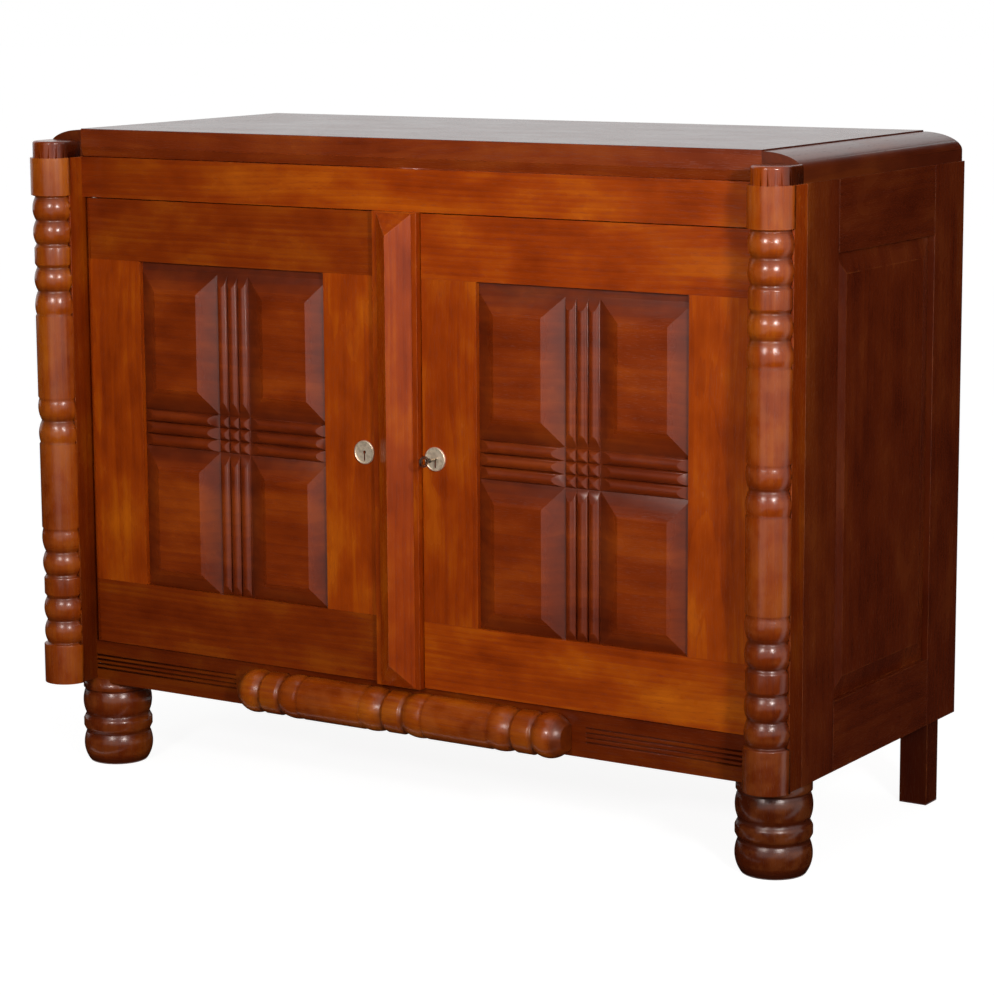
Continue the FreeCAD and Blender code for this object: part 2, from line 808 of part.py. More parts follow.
def front_foot():
    lower = case_clear - foot_ring_height - foot_upper_bead_height - foot_neck_height
    groove = foot_groove_radius
    steps = [(0, foot_base_radius)]
    add_bead(steps, lower, foot_bead_radius, groove, foot_crest_share)
    add_ring(steps, foot_ring_height, foot_bead_radius, groove, foot_ring_slope)
    add_bead(steps, foot_upper_bead_height, foot_bead_radius, groove)
    steps.append((case_clear - foot_neck_height + foot_neck_slope, foot_neck_radius))
    steps.append((case_clear, foot_neck_radius))
    steps.append((case_clear, foot_dowel_radius))
    top = case_clear + foot_dowel_length
    steps.append((top, foot_dowel_radius))
    shape = turned(steps, top, full_turn)
    shape.translate(point(foot_x, foot_y, 0))
    return shape


# Blocks behind the apron that take the dowels of the front feet.
def foot_blocks():
    block_z = apron_top_z - board_thick
    solid = block(side_inner_x - foot_block_width, side_inner_x, post_back_y,
                  foot_y + foot_neck_radius, case_clear, block_z)
    hole = Part.makeCylinder(foot_dowel_radius + pin_gap, foot_dowel_length + seat_gap,
                             point(foot_x, foot_y, case_clear))
    solid = solid.cut(hole)
    return Part.makeCompound([solid, mirrored(solid)])


def add_door(side, place):
    low, high = door_rails()
    pieces[side + "_door_bottom_rail"] = place(low)
    pieces[side + "_door_top_rail"] = place(high)
    pieces[side + "_door_hinge_stile"] = place(hinge_stile())
    pieces[side + "_door_lock_stile"] = place(lock_stile())
    pieces[side + "_door_panel"] = place(door_panel())
    pieces[side + "_door_escutcheon"] = place(escutcheon())
    pieces[side + "_door_lock"] = place(lock_case())
    pieces[side + "_door_pivots"] = place(pivot_plates())
    pieces[side + "_door_bolt"] = place(bolt())


def add_case():
    both_sides("front_post", front_post())
    both_sides("column", column())
    both_sides("corner_cap", corner_cap())
    both_sides("top_moulding", top_moulding())
    both_sides("rear_leg", rear_leg())
    both_sides("front_foot", front_foot())
    pieces["top_board"] = top_board()
    pieces["frieze_rail"] = frieze_rail()
    pieces["apron_rail"] = apron_rail()
    pieces["apron_bobbin"] = apron_bobbin()
    pieces["centre_stile"] = centre_stile()
    pieces["centre_stop"] = centre_stop()
    pieces["centre_batten"] = centre_batten()
    side_frame()
    back_frame()
    pieces["bottom_board"] = inner_board(apron_back_y, apron_top_z - board_thick, board_thick)
    pieces["shelf"] = inner_board(face_y + shelf_setback, shelf_height, shelf_thick)
    pieces["shelf_cleats"] = cleats(shelf_height, face_y + shelf_setback)
    pieces["top_cleats"] = cleats(case_height, post_back_y)
    pieces["foot_blocks"] = foot_blocks()
    sockets = [hinge_socket(apron_top_z, -1), hinge_socket(frieze_z, 1)]
    mirrored_sockets = [mirrored(socket) for socket in sockets]
    pieces["hinge_sockets"] = Part.makeCompound(sockets + mirrored_sockets)


add_case()
add_door("right", lambda shape: shape)
add_door("left", mirrored)
pieces["right_door_key"] = key()

os.makedirs("parts", exist_ok=True)
for name, shape in pieces.items():
    shape.exportStep("parts/" + name + ".step")
print(len(pieces), "pieces")
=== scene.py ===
import json
from math import hypot, radians

import bmesh
import bpy
from mathutils import Matrix, Vector

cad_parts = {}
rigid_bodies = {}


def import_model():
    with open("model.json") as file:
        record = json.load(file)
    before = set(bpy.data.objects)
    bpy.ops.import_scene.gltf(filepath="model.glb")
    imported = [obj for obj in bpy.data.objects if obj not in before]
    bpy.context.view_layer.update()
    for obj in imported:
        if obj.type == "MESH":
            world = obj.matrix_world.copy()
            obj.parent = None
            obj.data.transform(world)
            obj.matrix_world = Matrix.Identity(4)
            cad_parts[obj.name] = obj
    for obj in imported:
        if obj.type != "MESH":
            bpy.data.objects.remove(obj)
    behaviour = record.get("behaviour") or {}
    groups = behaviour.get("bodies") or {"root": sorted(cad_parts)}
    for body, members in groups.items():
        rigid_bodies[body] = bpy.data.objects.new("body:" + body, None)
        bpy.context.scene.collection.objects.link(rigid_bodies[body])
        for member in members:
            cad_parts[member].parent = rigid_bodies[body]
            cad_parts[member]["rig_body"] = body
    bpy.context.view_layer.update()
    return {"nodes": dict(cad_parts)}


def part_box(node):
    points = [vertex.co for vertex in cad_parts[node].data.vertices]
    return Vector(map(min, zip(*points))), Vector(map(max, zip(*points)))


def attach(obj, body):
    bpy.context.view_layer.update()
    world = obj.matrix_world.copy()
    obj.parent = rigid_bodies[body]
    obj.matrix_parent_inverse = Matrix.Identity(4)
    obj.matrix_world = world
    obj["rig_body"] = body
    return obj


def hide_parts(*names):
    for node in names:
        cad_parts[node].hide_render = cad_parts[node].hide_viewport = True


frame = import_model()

nodes = frame["nodes"]
bodyOf = {name: node["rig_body"] for name, node in nodes.items()}
slotOf = {name: node.material_slots[0].material.name for name, node in nodes.items()}
print("frame loaded:", len(nodes), "nodes")


def newMesh(name, work, smoothAngle=None):
    # a work mesh becomes a piece, with its shading split at edges sharper than the angle
    mesh = bpy.data.meshes.new(name)
    work.to_mesh(mesh)
    work.free()
    piece = bpy.data.objects.new(name, mesh)
    bpy.context.scene.collection.objects.link(piece)
    if smoothAngle is not None:
        mesh.shade_smooth()
        mesh.set_sharp_from_angle(angle=radians(smoothAngle))
    return piece


def mergedCopy(nodeName, within=2e-5):
    # a CAD mesh is loose triangles, so its copy is welded first
    work = bmesh.new()
    work.from_mesh(nodes[nodeName].data)
    bmesh.ops.remove_doubles(work, verts=work.verts, dist=within)
    return work


def putVector(mesh, name, values):
    layer = mesh.attributes.new(name, "FLOAT_VECTOR", "POINT")
    layer.data.foreach_set("vector", [c for value in values for c in value])


def pointsOf(piece):
    return [vertex.co for vertex in piece.data.vertices]


def inUnit(value):
    return min(1.0, max(0.0, value))


def seedOf(name, start=7, stride=31, lead=3, most=9973):
    # a steady number from 0 to 1 for each board, so that no two boards have the same grain
    total = start
    for n, letter in enumerate(name):
        total = (total * stride + ord(letter) * (n + lead)) % most
    return total / most


# the camera stands where the photographer stood
cameraCare = {
    "place": (2.510102, -3.882241, 1.266772),          # metres
    "turn": 33.606, "tilt": 80.544, "roll": -0.488,    # degrees
    "lens": 111.77, "sensor": 36, "shift": (0.0529, -0.0303),
}


def makeCamera():
    data = bpy.data.cameras.new("photoCamera")
    data.lens = cameraCare["lens"]
    data.sensor_width = cameraCare["sensor"]
    data.shift_x, data.shift_y = cameraCare["shift"]
    camera = bpy.data.objects.new("photoCamera", data)
    bpy.context.scene.collection.objects.link(camera)
    camera.matrix_world = (Matrix.Translation(cameraCare["place"])
                           @ Matrix.Rotation(radians(cameraCare["turn"]), 4, "Z")
                           @ Matrix.Rotation(radians(cameraCare["tilt"]), 4, "X")
                           @ Matrix.Rotation(radians(cameraCare["roll"]), 4, "Z"))
    bpy.context.scene.camera = camera


makeCamera()
bpy.context.scene.view_settings.view_transform = "Standard"
print("camera set")


# short ways to add nodes: a value may be a number, a colour or another node's socket
def put(tree, socket, value):
    if isinstance(value, bpy.types.NodeSocket):
        tree.links.new(value, socket)
    else:
        socket.default_value = value


def nodeIn(tree, kind, values=None, **settings):
    node = tree.nodes.new(kind)
    for key, value in settings.items():
        setattr(node, key, value)
    for key, value in (values or {}).items():
        put(tree, node.inputs[key], value)
    return node


def mathIn(tree, operation, a, b=0.0, clamp=False):
    values = {0: a, 1: b}
    return nodeIn(tree, "ShaderNodeMath", values, operation=operation, use_clamp=clamp).outputs[0]


def plusIn(tree, a, b, clamp=False):
    return mathIn(tree, "ADD", a, b, clamp)


def timesIn(tree, a, b, clamp=False):
    return mathIn(tree, "MULTIPLY", a, b, clamp)


def swingIn(tree, pattern, share):
    # a pattern from 0 to 1 comes to lie as far below nought as above it
    return timesIn(tree, mathIn(tree, "SUBTRACT", pattern, 0.5), share)


def vectorIn(tree, operation, a, b):
    return nodeIn(tree, "ShaderNodeVectorMath", {0: a, 1: b}, operation=operation).outputs[0]


def mixIn(tree, factor, a, b, blend="MIX"):
    # in a colour mix, input 0 is the factor, 6 and 7 are the colours, and output 2 is the result
    node = nodeIn(tree, "ShaderNodeMix", data_type="RGBA", blend_type=blend)
    for place, value in ((0, factor), (6, a), (7, b)):
        put(tree, node.inputs[place], value)
    return node.outputs[2]


def rangeIn(tree, value, low, high, outLow=0.0, outHigh=1.0, kind="SMOOTHSTEP"):
    values = {"Value": value, "From Min": low, "From Max": high, "To Min": outLow, "To Max": outHigh}
    return nodeIn(tree, "ShaderNodeMapRange", values, interpolation_type=kind).outputs["Result"]


def noiseIn(tree, place, detail, roughness=0.5, scale=1.0, output="Fac"):
    values = {"Vector": place, "Scale": scale, "Detail": detail, "Roughness": roughness}
    return nodeIn(tree, "ShaderNodeTexNoise", values).outputs[output]


def bumpIn(tree, height, strength, distance):
    values = {"Height": height, "Strength": strength, "Distance": distance}
    return nodeIn(tree, "ShaderNodeBump", values).outputs[0]


def groupWith(name, inputs, outputs):
    tree = bpy.data.node_groups.new(name, "ShaderNodeTree")
    for label, kind in inputs.items():
        tree.interface.new_socket(label, in_out="INPUT", socket_type="NodeSocket" + kind)
    for label, kind in outputs.items():
        tree.interface.new_socket(label, in_out="OUTPUT", socket_type="NodeSocket" + kind)
    return tree, tree.nodes.new("NodeGroupInput").outputs, tree.nodes.new("NodeGroupOutput").inputs


def newMaterial(name):
    material = bpy.data.materials.new(name)
    material.use_nodes = True
    return material, material.node_tree, material.node_tree.nodes["Principled BSDF"].inputs


grainCare = {
    # pattern: how often it changes along, across and through the board, per metre, detail, roughness
    "drift": ((1.3, 5, 5), 2.0, 0.5),
    "streak": ((3.2, 150, 150), 5.0, 0.62),
    "broad": ((2.1, 24, 24), 3.0, 0.5),
    "cloud": ((9, 17, 17), 3.0, 0.55),
    "pore": ((75, 1500, 1500), 2.0, 0.5),
    "ringStretch": (0.05, 1, 1), "fleckStretch": (42, 170, 60),
    "ringShape": {"Distortion": 2.2, "Detail": 3.0, "Detail Scale": 0.9, "Detail Roughness": 0.6},
    "wander": (0.0, 0.06, 0.06),    # how far the rings leave their course, metres
    "broadShare": 0.55,
    "darkTo": (0.1, 0.5), "paleFrom": (0.5, 0.95),    # of the figure that all patterns make together
    "fleckEdge": (0.26, 0.08), "fleckClouds": (0.5, 0.66),
    "poreEdge": (0.57, 0.66), "poreRings": (0.75, 0.35), "poreLeast": 0.25, "poreDark": 0.75,
    "cloudRough": 0.12, "poreRough": 0.2, "streakHeight": 0.25,
}


def makeOakGrain():
    # growth rings, fine streaks, cloudy stain, ray flecks and pores, in the board's own directions
    inputs = {"Grain": "Vector", "Ring Scale": "Float", "Rings": "Float", "Streaks": "Float",
              "Clouds": "Float", "Flecks": "Float", "Pores": "Float",
              "Dark": "Color", "Middle": "Color", "Pale": "Color"}
    outputs = {"Color": "Color", "Rough": "Float", "Height": "Float"}
    tree, given, result = groupWith("oakGrain", inputs, outputs)
    care = grainCare

    def stretched(stretch):
        return vectorIn(tree, "MULTIPLY", given["Grain"], stretch)

    def noise(pattern, output="Fac"):
        stretch, detail, roughness = care[pattern]
        return noiseIn(tree, stretched(stretch), detail, roughness, output=output)

    wander = vectorIn(tree, "SUBTRACT", noise("drift", "Color"), (0.5, 0.5, 0.5))
    wander = vectorIn(tree, "MULTIPLY", wander, care["wander"])
    bent = vectorIn(tree, "ADD", stretched(care["ringStretch"]), wander)
    waves = {"Vector": bent, "Scale": given["Ring Scale"], **care["ringShape"]}
    rings = nodeIn(tree, "ShaderNodeTexWave", waves, wave_type="RINGS", rings_direction="X",
                   wave_profile="SAW").outputs["Fac"]
    streak = noise("streak")
    broad = noise("broad")
    cloud = noise("cloud")

    figure = 0.5
    for pattern, share in ((rings, given["Rings"]), (streak, given["Streaks"]),
                           (broad, care["broadShare"]), (cloud, given["Clouds"])):
        figure = plusIn(tree, swingIn(tree, pattern, share), figure)
    low = rangeIn(tree, figure, *care["darkTo"], kind="LINEAR")
    high = rangeIn(tree, figure, *care["paleFrom"], kind="LINEAR")
    colour = mixIn(tree, low, given["Dark"], given["Middle"])
    colour = mixIn(tree, high, colour, given["Pale"])

    # ray flecks: short pale lenses that lie along the board
    cells = nodeIn(tree, "ShaderNodeTexVoronoi", {"Vector": stretched(care["fleckStretch"]), "Scale": 1.0})
    fleck = rangeIn(tree, cells.outputs["Distance"], *care["fleckEdge"])
    fleck = timesIn(tree, fleck, rangeIn(tree, cloud, *care["fleckClouds"]))
    fleck = timesIn(tree, fleck, given["Flecks"])
    colour = mixIn(tree, fleck, colour, given["Pale"])

    # open pores, packed in the early wood of each ring
    pore = rangeIn(tree, noise("pore"), *care["poreEdge"])
    pore = timesIn(tree, pore, rangeIn(tree, rings, *care["poreRings"], care["poreLeast"], 1.0))
    pore = timesIn(tree, pore, given["Pores"])
    colour = mixIn(tree, timesIn(tree, pore, care["poreDark"]), colour, given["Dark"])

    rough = swingIn(tree, cloud, care["cloudRough"])
    rough = plusIn(tree, rough, timesIn(tree, pore, care["poreRough"]))
    height = mathIn(tree, "SUBTRACT", timesIn(tree, streak, care["streakHeight"]), pore)
    tree.links.new(colour, result["Color"])
    tree.links.new(rough, result["Rough"])
    tree.links.new(height, result["Height"])
    return tree


polishCare = {
    "patch": {"scale": 38.0, "detail": 4.0},    # worn patches, per metre
    "warmth": (1.35, 1.7, 1.3, 1),              # how much a paler board's colour is raised
    "wornEdge": (0.38, 0.62), "hollowPatchEdge": (0.2, 0.7), "hollowPatchLeast": 0.6,
    "heldRough": 0.12, "wornRough": 0.05,
}


def makePolish():
    # stain, polish and painted light and shade: deeper or paler board by board, dark in the hollows, rubbed
    # on the edges
    inputs = {"Color": "Color", "Finish": "Vector", "Grain": "Vector", "Deep": "Color",
              "Rubbed": "Color", "Wear": "Float", "Hollows": "Float"}
    outputs = {"Color": "Color", "Rough": "Float"}
    tree, given, result = groupWith("polishAndPaintedLight", inputs, outputs)
    care = polishCare
    edge, tone, hollow = nodeIn(tree, "ShaderNodeSeparateXYZ", {"Vector": given["Finish"]}).outputs
    patch = noiseIn(tree, given["Grain"], **care["patch"])
    # the tone deepens or warms the colour, and carries painted light and shade as well as each board's own
    # tone
    colour = mixIn(tree, timesIn(tree, tone, -1.0, clamp=True), given["Color"], given["Deep"])
    warm = mixIn(tree, 1.0, colour, care["warmth"], "MULTIPLY")
    colour = mixIn(tree, timesIn(tree, tone, 1.0, clamp=True), colour, warm)
    worn = timesIn(tree, edge, rangeIn(tree, patch, *care["wornEdge"]))
    worn = timesIn(tree, worn, given["Wear"])
    colour = mixIn(tree, worn, colour, given["Rubbed"])
    # painted shade and held polish: the hollows are mixed towards the deep colour
    heldPolishAndShade = timesIn(tree, hollow, rangeIn(tree, patch, *care["hollowPatchEdge"], care["hollowPatchLeast"], 1.0))
    heldPolishAndShade = timesIn(tree, heldPolishAndShade, given["Hollows"])
    colour = mixIn(tree, heldPolishAndShade, colour, given["Deep"])
    rough = timesIn(tree, hollow, care["heldRough"])
    rough = mathIn(tree, "SUBTRACT", rough, timesIn(tree, worn, care["wornRough"]))
    tree.links.new(colour, result["Color"])
    tree.links.new(rough, result["Rough"])
    return tree


oakGrain = makeOakGrain()
polishAndPaintedLight = makePolish()

# colours of the stained oak, how strong each pattern is, and the shine
oakBase = {
    "Ring Scale": 34.0, "Rings": 0.10, "Streaks": 0.36, "Clouds": 1.05, "Flecks": 0.35, "Pores": 0.6,
    "Dark": (0.145, 0.0125, 0.0005), "Middle": (0.305, 0.038, 0.0008), "Pale": (0.51, 0.105, 0.0015),
    "Deep": (0.030, 0.0035, 0.0006), "Rubbed": (0.46, 0.13, 0.03),    # deep colour for held polish, painted shade and deeper tones, and the colour of worn polish
    "Wear": 0.45, "Hollows": 0.6,
    "rough": 0.26, "bump": 0.25, "bumpDepth": 0.0003, "gloss": 0.24,
}
oakFinishes = {
    "oak_frame": {},
    # painted shade: the sides and rear legs get much deeper colours than the front, for the shade they stand
    # in
    "oak_side": {
        "Dark": (0.060, 0.006, 0.001), "Middle": (0.113, 0.014, 0.0018), "Pale": (0.18, 0.032, 0.004),
        "Flecks": 0.1, "bump": 0.1, "gloss": 0.32},
    "oak_panel": {
        "Dark": (0.117, 0.011, 0.0005), "Middle": (0.24, 0.029, 0.0008), "Pale": (0.40, 0.066, 0.002),
        "Ring Scale": 22.0, "Clouds": 1.0, "Streaks": 0.4, "rough": 0.25, "gloss": 0.42},
    "oak_turned": {
        "Dark": (0.14, 0.013, 0.0006), "Middle": (0.26, 0.035, 0.0010), "Pale": (0.40, 0.08, 0.003),
        "Deep": (0.045, 0.006, 0.0008), "Clouds": 1.35, "Streaks": 0.5, "Wear": 0.35, "Hollows": 0.65,
        "rough": 0.22, "gloss": 0.44},
    "oak_top": {
        "Dark": (0.10, 0.010, 0.001), "Middle": (0.19, 0.024, 0.002), "Pale": (0.28, 0.05, 0.004),
        "rough": 0.25, "bump": 0.12, "gloss": 0.56},
    # painted shade: the mouldings get deep colours like those of the shaded sides
    "oak_moulding_painted_shade": {
        "Dark": (0.045, 0.005, 0.001), "Middle": (0.085, 0.010, 0.0015), "Pale": (0.15, 0.025, 0.003),
        "rough": 0.3, "bump": 0.05, "gloss": 0.36},
    "oak_inner": {
        "Dark": (0.35, 0.135, 0.036), "Middle": (0.52, 0.235, 0.068), "Pale": (0.64, 0.34, 0.12),
        "Deep": (0.17, 0.08, 0.03), "Rubbed": (0.6, 0.38, 0.19), "Ring Scale": 26.0,
        "rough": 0.55, "bump": 0.6, "gloss": 0.3},
}


def makeOak(name, finish):
    material, tree, shader = newMaterial(name)
    grain = nodeIn(tree, "ShaderNodeAttribute", attribute_name="grain").outputs["Vector"]
    state = nodeIn(tree, "ShaderNodeAttribute", attribute_name="finish").outputs["Vector"]
    figure = nodeIn(tree, "ShaderNodeGroup", node_tree=oakGrain)
    polish = nodeIn(tree, "ShaderNodeGroup", node_tree=polishAndPaintedLight)
    for group in (figure, polish):
        for socket in group.inputs:
            if socket.name in finish:
                value = finish[socket.name]
                socket.default_value = (*value, 1) if socket.type == "RGBA" else value
    put(tree, figure.inputs["Grain"], grain)
    put(tree, polish.inputs["Grain"], grain)
    put(tree, polish.inputs["Finish"], state)
    put(tree, polish.inputs["Color"], figure.outputs["Color"])
    rough = plusIn(tree, figure.outputs["Rough"], polish.outputs["Rough"])
    rough = plusIn(tree, rough, finish["rough"], clamp=True)
    put(tree, shader["Base Color"], polish.outputs["Color"])
    put(tree, shader["Roughness"], rough)
    put(tree, shader["Normal"], bumpIn(tree, figure.outputs["Height"], finish["bump"], finish["bumpDepth"]))
    shader["Specular IOR Level"].default_value = finish["gloss"]
    return material


oaks = {name: makeOak(name + "_finish", {**oakBase, **changes}) for name, changes in oakFinishes.items()}
print("oak finishes made:", len(oaks))


# brush: how often the scratches change each way, per metre
metalFinishes = {
    "nickel": {
        "material": "nickelPlate", "bright": (0.88, 0.72, 0.54), "dull": (0.62, 0.48, 0.34),
        "brush": (700, 700, 700), "rough": 0.14, "bump": 0.25, "metal": 0.6},
    "key": {
        "material": "darkKey", "bright": (0.30, 0.27, 0.23), "dull": (0.10, 0.085, 0.07),
        "brush": (700, 700, 700), "rough": 0.12, "bump": 0.4, "metal": 1.0},
    "steel": {
        "material": "agedSteel", "bright": (0.44, 0.42, 0.39), "dull": (0.31, 0.28, 0.25),
        "brush": (180, 1500, 1500), "rough": 0.2, "bump": 0.5, "metal": 1.0},
}
metalCare = {
    "scratch": {"detail": 4.0}, "scratchRough": 0.16,
    "stain": {"scale": 160.0, "detail": 5.0, "roughness": 0.6}, "stainRough": 0.22,
    "stainEdge": (0.42, 0.68), "bumpDepth": 0.0001,
}


def makeMetal(finish):
    # brushed, with dull stains
    material, tree, shader = newMaterial(finish["material"])
    care = metalCare
    place = nodeIn(tree, "ShaderNodeTexCoord").outputs["Object"]
    brushed = nodeIn(tree, "ShaderNodeMapping", {"Vector": place, "Scale": finish["brush"]}).outputs[0]
    scratch = noiseIn(tree, brushed, **care["scratch"])
    stain = noiseIn(tree, place, **care["stain"])
    dulled = rangeIn(tree, stain, *care["stainEdge"])
    rough = timesIn(tree, scratch, care["scratchRough"])
    rough = plusIn(tree, rough, timesIn(tree, stain, care["stainRough"]))
    rough = plusIn(tree, rough, finish["rough"], clamp=True)
    put(tree, shader["Base Color"], mixIn(tree, dulled, (*finish["bright"], 1), (*finish["dull"], 1)))
    put(tree, shader["Roughness"], rough)
    put(tree, shader["Normal"], bumpIn(tree, scratch, finish["bump"], care["bumpDepth"]))
    shader["Metallic"].default_value = finish["metal"]
    return material


metals = {name: makeMetal(finish) for name, finish in metalFinishes.items()}
for name, node in nodes.items():
    if slotOf[name] in metals:
        node.material_slots[0].material = metals["key" if name.endswith("_key") else slotOf[name]]
print("metals made:", len(metals))


# board: direction of its grain, its finish, and its tone (below 0 is deeper, above 0 paler); the tones are
# partly the boards' own and partly painted light and shade, such as the deeper rails of the left door
boards = {
    "frieze_rail": ("x", "oak_frame", 0.0),
    "apron_rail": ("x", "oak_frame", -0.58),
    "front_post_right": ("z", "oak_frame", -0.7),
    "front_post_left": ("z", "oak_frame", -0.7),
    "centre_stile": ("z", "oak_frame", -0.05),
    "centre_batten": ("z", "oak_frame", 0.1),
    "centre_stop": ("z", "oak_frame", -0.3),
    "right_door_top_rail": ("x", "oak_frame", 0.05),
    "right_door_bottom_rail": ("x", "oak_frame", 0.25),
    "right_door_hinge_stile": ("z", "oak_frame", 0.45),
    "right_door_lock_stile": ("z", "oak_frame", -0.05),
    "left_door_top_rail": ("x", "oak_frame", -0.32),
    "left_door_bottom_rail": ("x", "oak_frame", -0.38),
    "left_door_hinge_stile": ("z", "oak_frame", 0.25),
    "left_door_lock_stile": ("z", "oak_frame", 0.2),
    "right_door_panel": ("x", "oak_panel", -0.13),
    "left_door_panel": ("x", "oak_panel", -0.11),
    "top_board": ("x", "oak_top", 0.1),
    "top_moulding_right": ("y", "oak_moulding_painted_shade", 0.0),
    "top_moulding_left": ("y", "oak_moulding_painted_shade", 0.0),
    "rear_leg_right": ("z", "oak_side", -0.4),
    "rear_leg_left": ("z", "oak_side", -0.2),
    "bottom_board": ("x", "oak_inner", 0.0),
    "shelf": ("x", "oak_inner", 0.0),
    "shelf_cleats": ("y", "oak_inner", 0.0),
    "top_cleats": ("x", "oak_inner", 0.0),
    "foot_blocks": ("x", "oak_inner", -0.1),
    "back_bottom_rail": ("x", "oak_inner", 0.0),
    "back_top_rail": ("x", "oak_inner", 0.0),
    "back_muntin": ("z", "oak_inner", 0.0),
    "back_panels": ("z", "oak_inner", 0.05),
}
for side in ("left", "right"):
    boards["side_front_stile_" + side] = ("z", "oak_side", -0.1)
    boards["side_back_stile_" + side] = ("z", "oak_side", 0.0)
    boards["side_top_rail_" + side] = ("y", "oak_side", -0.1)
    boards["side_bottom_rail_" + side] = ("y", "oak_side", -0.1)
    boards["side_panel_" + side] = ("z", "oak_side", 0.0)

boardCare = {
    "ease": 0.0009,         # how far a sharp edge is taken off, metres
    "jointEase": 0.0005,    # the same on the doors and the side frames
    "easeSteps": 2, "easeFullness": 0.6,
    "sharpFrom": 12.5,      # degrees between faces from which an edge counts as sharp
    "flatUpTo": 0.3,        # degrees between faces up to which they are one face
    "shortest": 0.004,      # edges shorter than this stay as they are, metres
    "skin": 0.0004, "endSkin": 0.0002,    # depth within which a point lies on the outer face
    "topFace": -0.72, "mouldingLitEnd": 0.9,    # tones of single faces, the moulding's end painted light
    "postPaintedLight": 0.6, "stilePaintedLight": 1.1, "friezePaintedLight": 0.3,    # painted light and shade: how much paler a board gets from end to end
    # behind its front a panel starts to darken at the skin, and is darkest where the depth ends, partly held
    # polish and partly painted shade
    "panelSkin": 0.001, "panelDepth": 0.011,
    "groove": (0.0012, 0.003), "grooveDarkness": 1.3,    # depths of the apron's grooves, and how dark they are, partly held polish and partly painted shade
}
grainTurns = {"x": (0, 1, 2), "y": (1, 2, 0), "z": (2, 0, 1)}
# how far a board's grain is moved, metres: the least, how much more, and how fast that runs with the seed
grainShift = {"along": (0.0, 7.0, 1), "across": (0.02, 0.05, 13), "through": (0.06, 0.07, 29)}


def markWood(piece, name, direction, tones, edges, hollows):
    # grain: along, across and through the board, in metres, shifted for each board
    turn = grainTurns[direction]
    seed = seedOf(name)
    shift = [least + more * ((seed * speed) % 1) for least, more, speed in grainShift.values()]
    low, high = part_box(name)
    middle = (low + high) / 2
    grain = [[at[axis] - middle[axis] + shift[n] for n, axis in enumerate(turn)] for at in pointsOf(piece)]
    putVector(piece.data, "grain", grain)
    putVector(piece.data, "finish", list(zip(edges, tones, hollows)))


def dress(piece, name, material):
    # large faces keep their own direction, so light does not smear over them from their edges
    keeper = piece.modifiers.new("flatFaces", "WEIGHTED_NORMAL")
    keeper.keep_sharp = True
    piece.data.materials.append(material)
    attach(piece, bodyOf[name])
    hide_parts(name)


def easedBoard(name):
    # the board with its sharp edges taken off, and which of its points lie on an eased edge
    care = boardCare
    jointed = "door" in name or "side_" in name
    sharpAngle = radians(care["sharpFrom"])
    work = mergedCopy(name)
    bmesh.ops.dissolve_limit(work, angle_limit=radians(care["flatUpTo"]), verts=work.verts, edges=work.edges)
    sharp = [edge for edge in work.edges if len(edge.link_faces) == 2
             and edge.calc_face_angle(0) > sharpAngle and edge.calc_length() > care["shortest"]]
    made = bmesh.ops.bevel(work, geom=sharp, offset=care["jointEase"] if jointed else care["ease"],
                           offset_type="OFFSET", segments=care["easeSteps"], profile=care["easeFullness"],
                           affect="EDGES", clamp_overlap=True)
    rounded = set(made["faces"])
    eased = [1.0 if vertex.link_faces and all(face in rounded for face in vertex.link_faces) else 0.0
             for vertex in work.verts]
    for face in work.faces:
        face.smooth = True
    for edge in work.edges:
        onEase = any(face in rounded for face in edge.link_faces)
        edge.smooth = onEase or edge.calc_face_angle(0) < sharpAngle
    return newMesh(name + "_board", work), eased


def boardTones(name, tone, points, low, high):
    care = boardCare
    size = high - low
    if name == "top_board":
        # the top face is deeper than the board's edges
        return [care["topFace"] if at.z > high.z - care["skin"] else tone for at in points]
    if name.startswith("top_moulding"):
        # painted light: its front end, which faces the lamps, is paler than its painted shade
        return [care["mouldingLitEnd"] if at.y < low.y + care["endSkin"] else tone for at in points]
    if name.startswith("front_post"):
        # painted shade: deeper towards the floor, where less lamp light falls
        return [tone + care["postPaintedLight"] * (at.z - low.z) / size.z for at in points]
    if name.startswith("side_front_stile"):
        # painted light: paler towards the front and the top, where more lamp light falls
        return [tone + care["stilePaintedLight"] * (high.y - at.y) / size.y * (at.z - low.z) / size.z
                for at in points]
    if name == "frieze_rail":
        # painted shade: deeper towards its left end, further from the stronger lamp
        return [tone + care["friezePaintedLight"] * at.x / high.x for at in points]
    return [tone] * len(points)


def boardHollows(name, points, low):
    # dark in the carving of the panels and the grooves of the apron, partly old polish that stays there and
    # partly painted shade
    care = boardCare
    if name.endswith("door_panel"):
        return [inUnit((at.y - low.y - care["panelSkin"]) / care["panelDepth"]) for at in points]
    if name == "apron_rail":
        start, end = care["groove"]
        return [care["grooveDarkness"] if start < at.y - low.y < end else 0.0 for at in points]
    return [0.0] * len(points)


for name, (direction, finish, tone) in boards.items():
    piece, eased = easedBoard(name)
    low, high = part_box(name)
    points = pointsOf(piece)
    tones = boardTones(name, tone, points, low, high)
    markWood(piece, name, direction, tones, eased, boardHollows(name, points, low))
    dress(piece, name, oaks[finish])
print("boards eased:", len(boards))


# turned piece: direction of its grain, its kind and its tone; the feet are deeper partly in their own colour
# and partly as painted shade
turnings = {
    "column_right": ("z", "column", 0.1), "column_left": ("z", "column", 0.8),
    "front_foot_right": ("z", "foot", -0.8), "front_foot_left": ("z", "foot", -0.4),
    "apron_bobbin": ("x", "bobbin", 0.8),
}
turnedCare = {
    # radius of the crests and of the hollows that bound the dark hollows, partly held polish and partly
    # painted shade, metres
    "column": (0.0325, 0.0285), "foot": (0.0530, 0.0495), "bobbin": (0.0325, 0.0285),
    "smoothAngle": 40,
    "columnPaintedLight": 1.6,                         # painted light: how much paler the columns get, per metre of height
    "crestBand": 0.0006, "crestWear": 0.5,     # depth of the rubbed crests, metres, and how rubbed they are
}


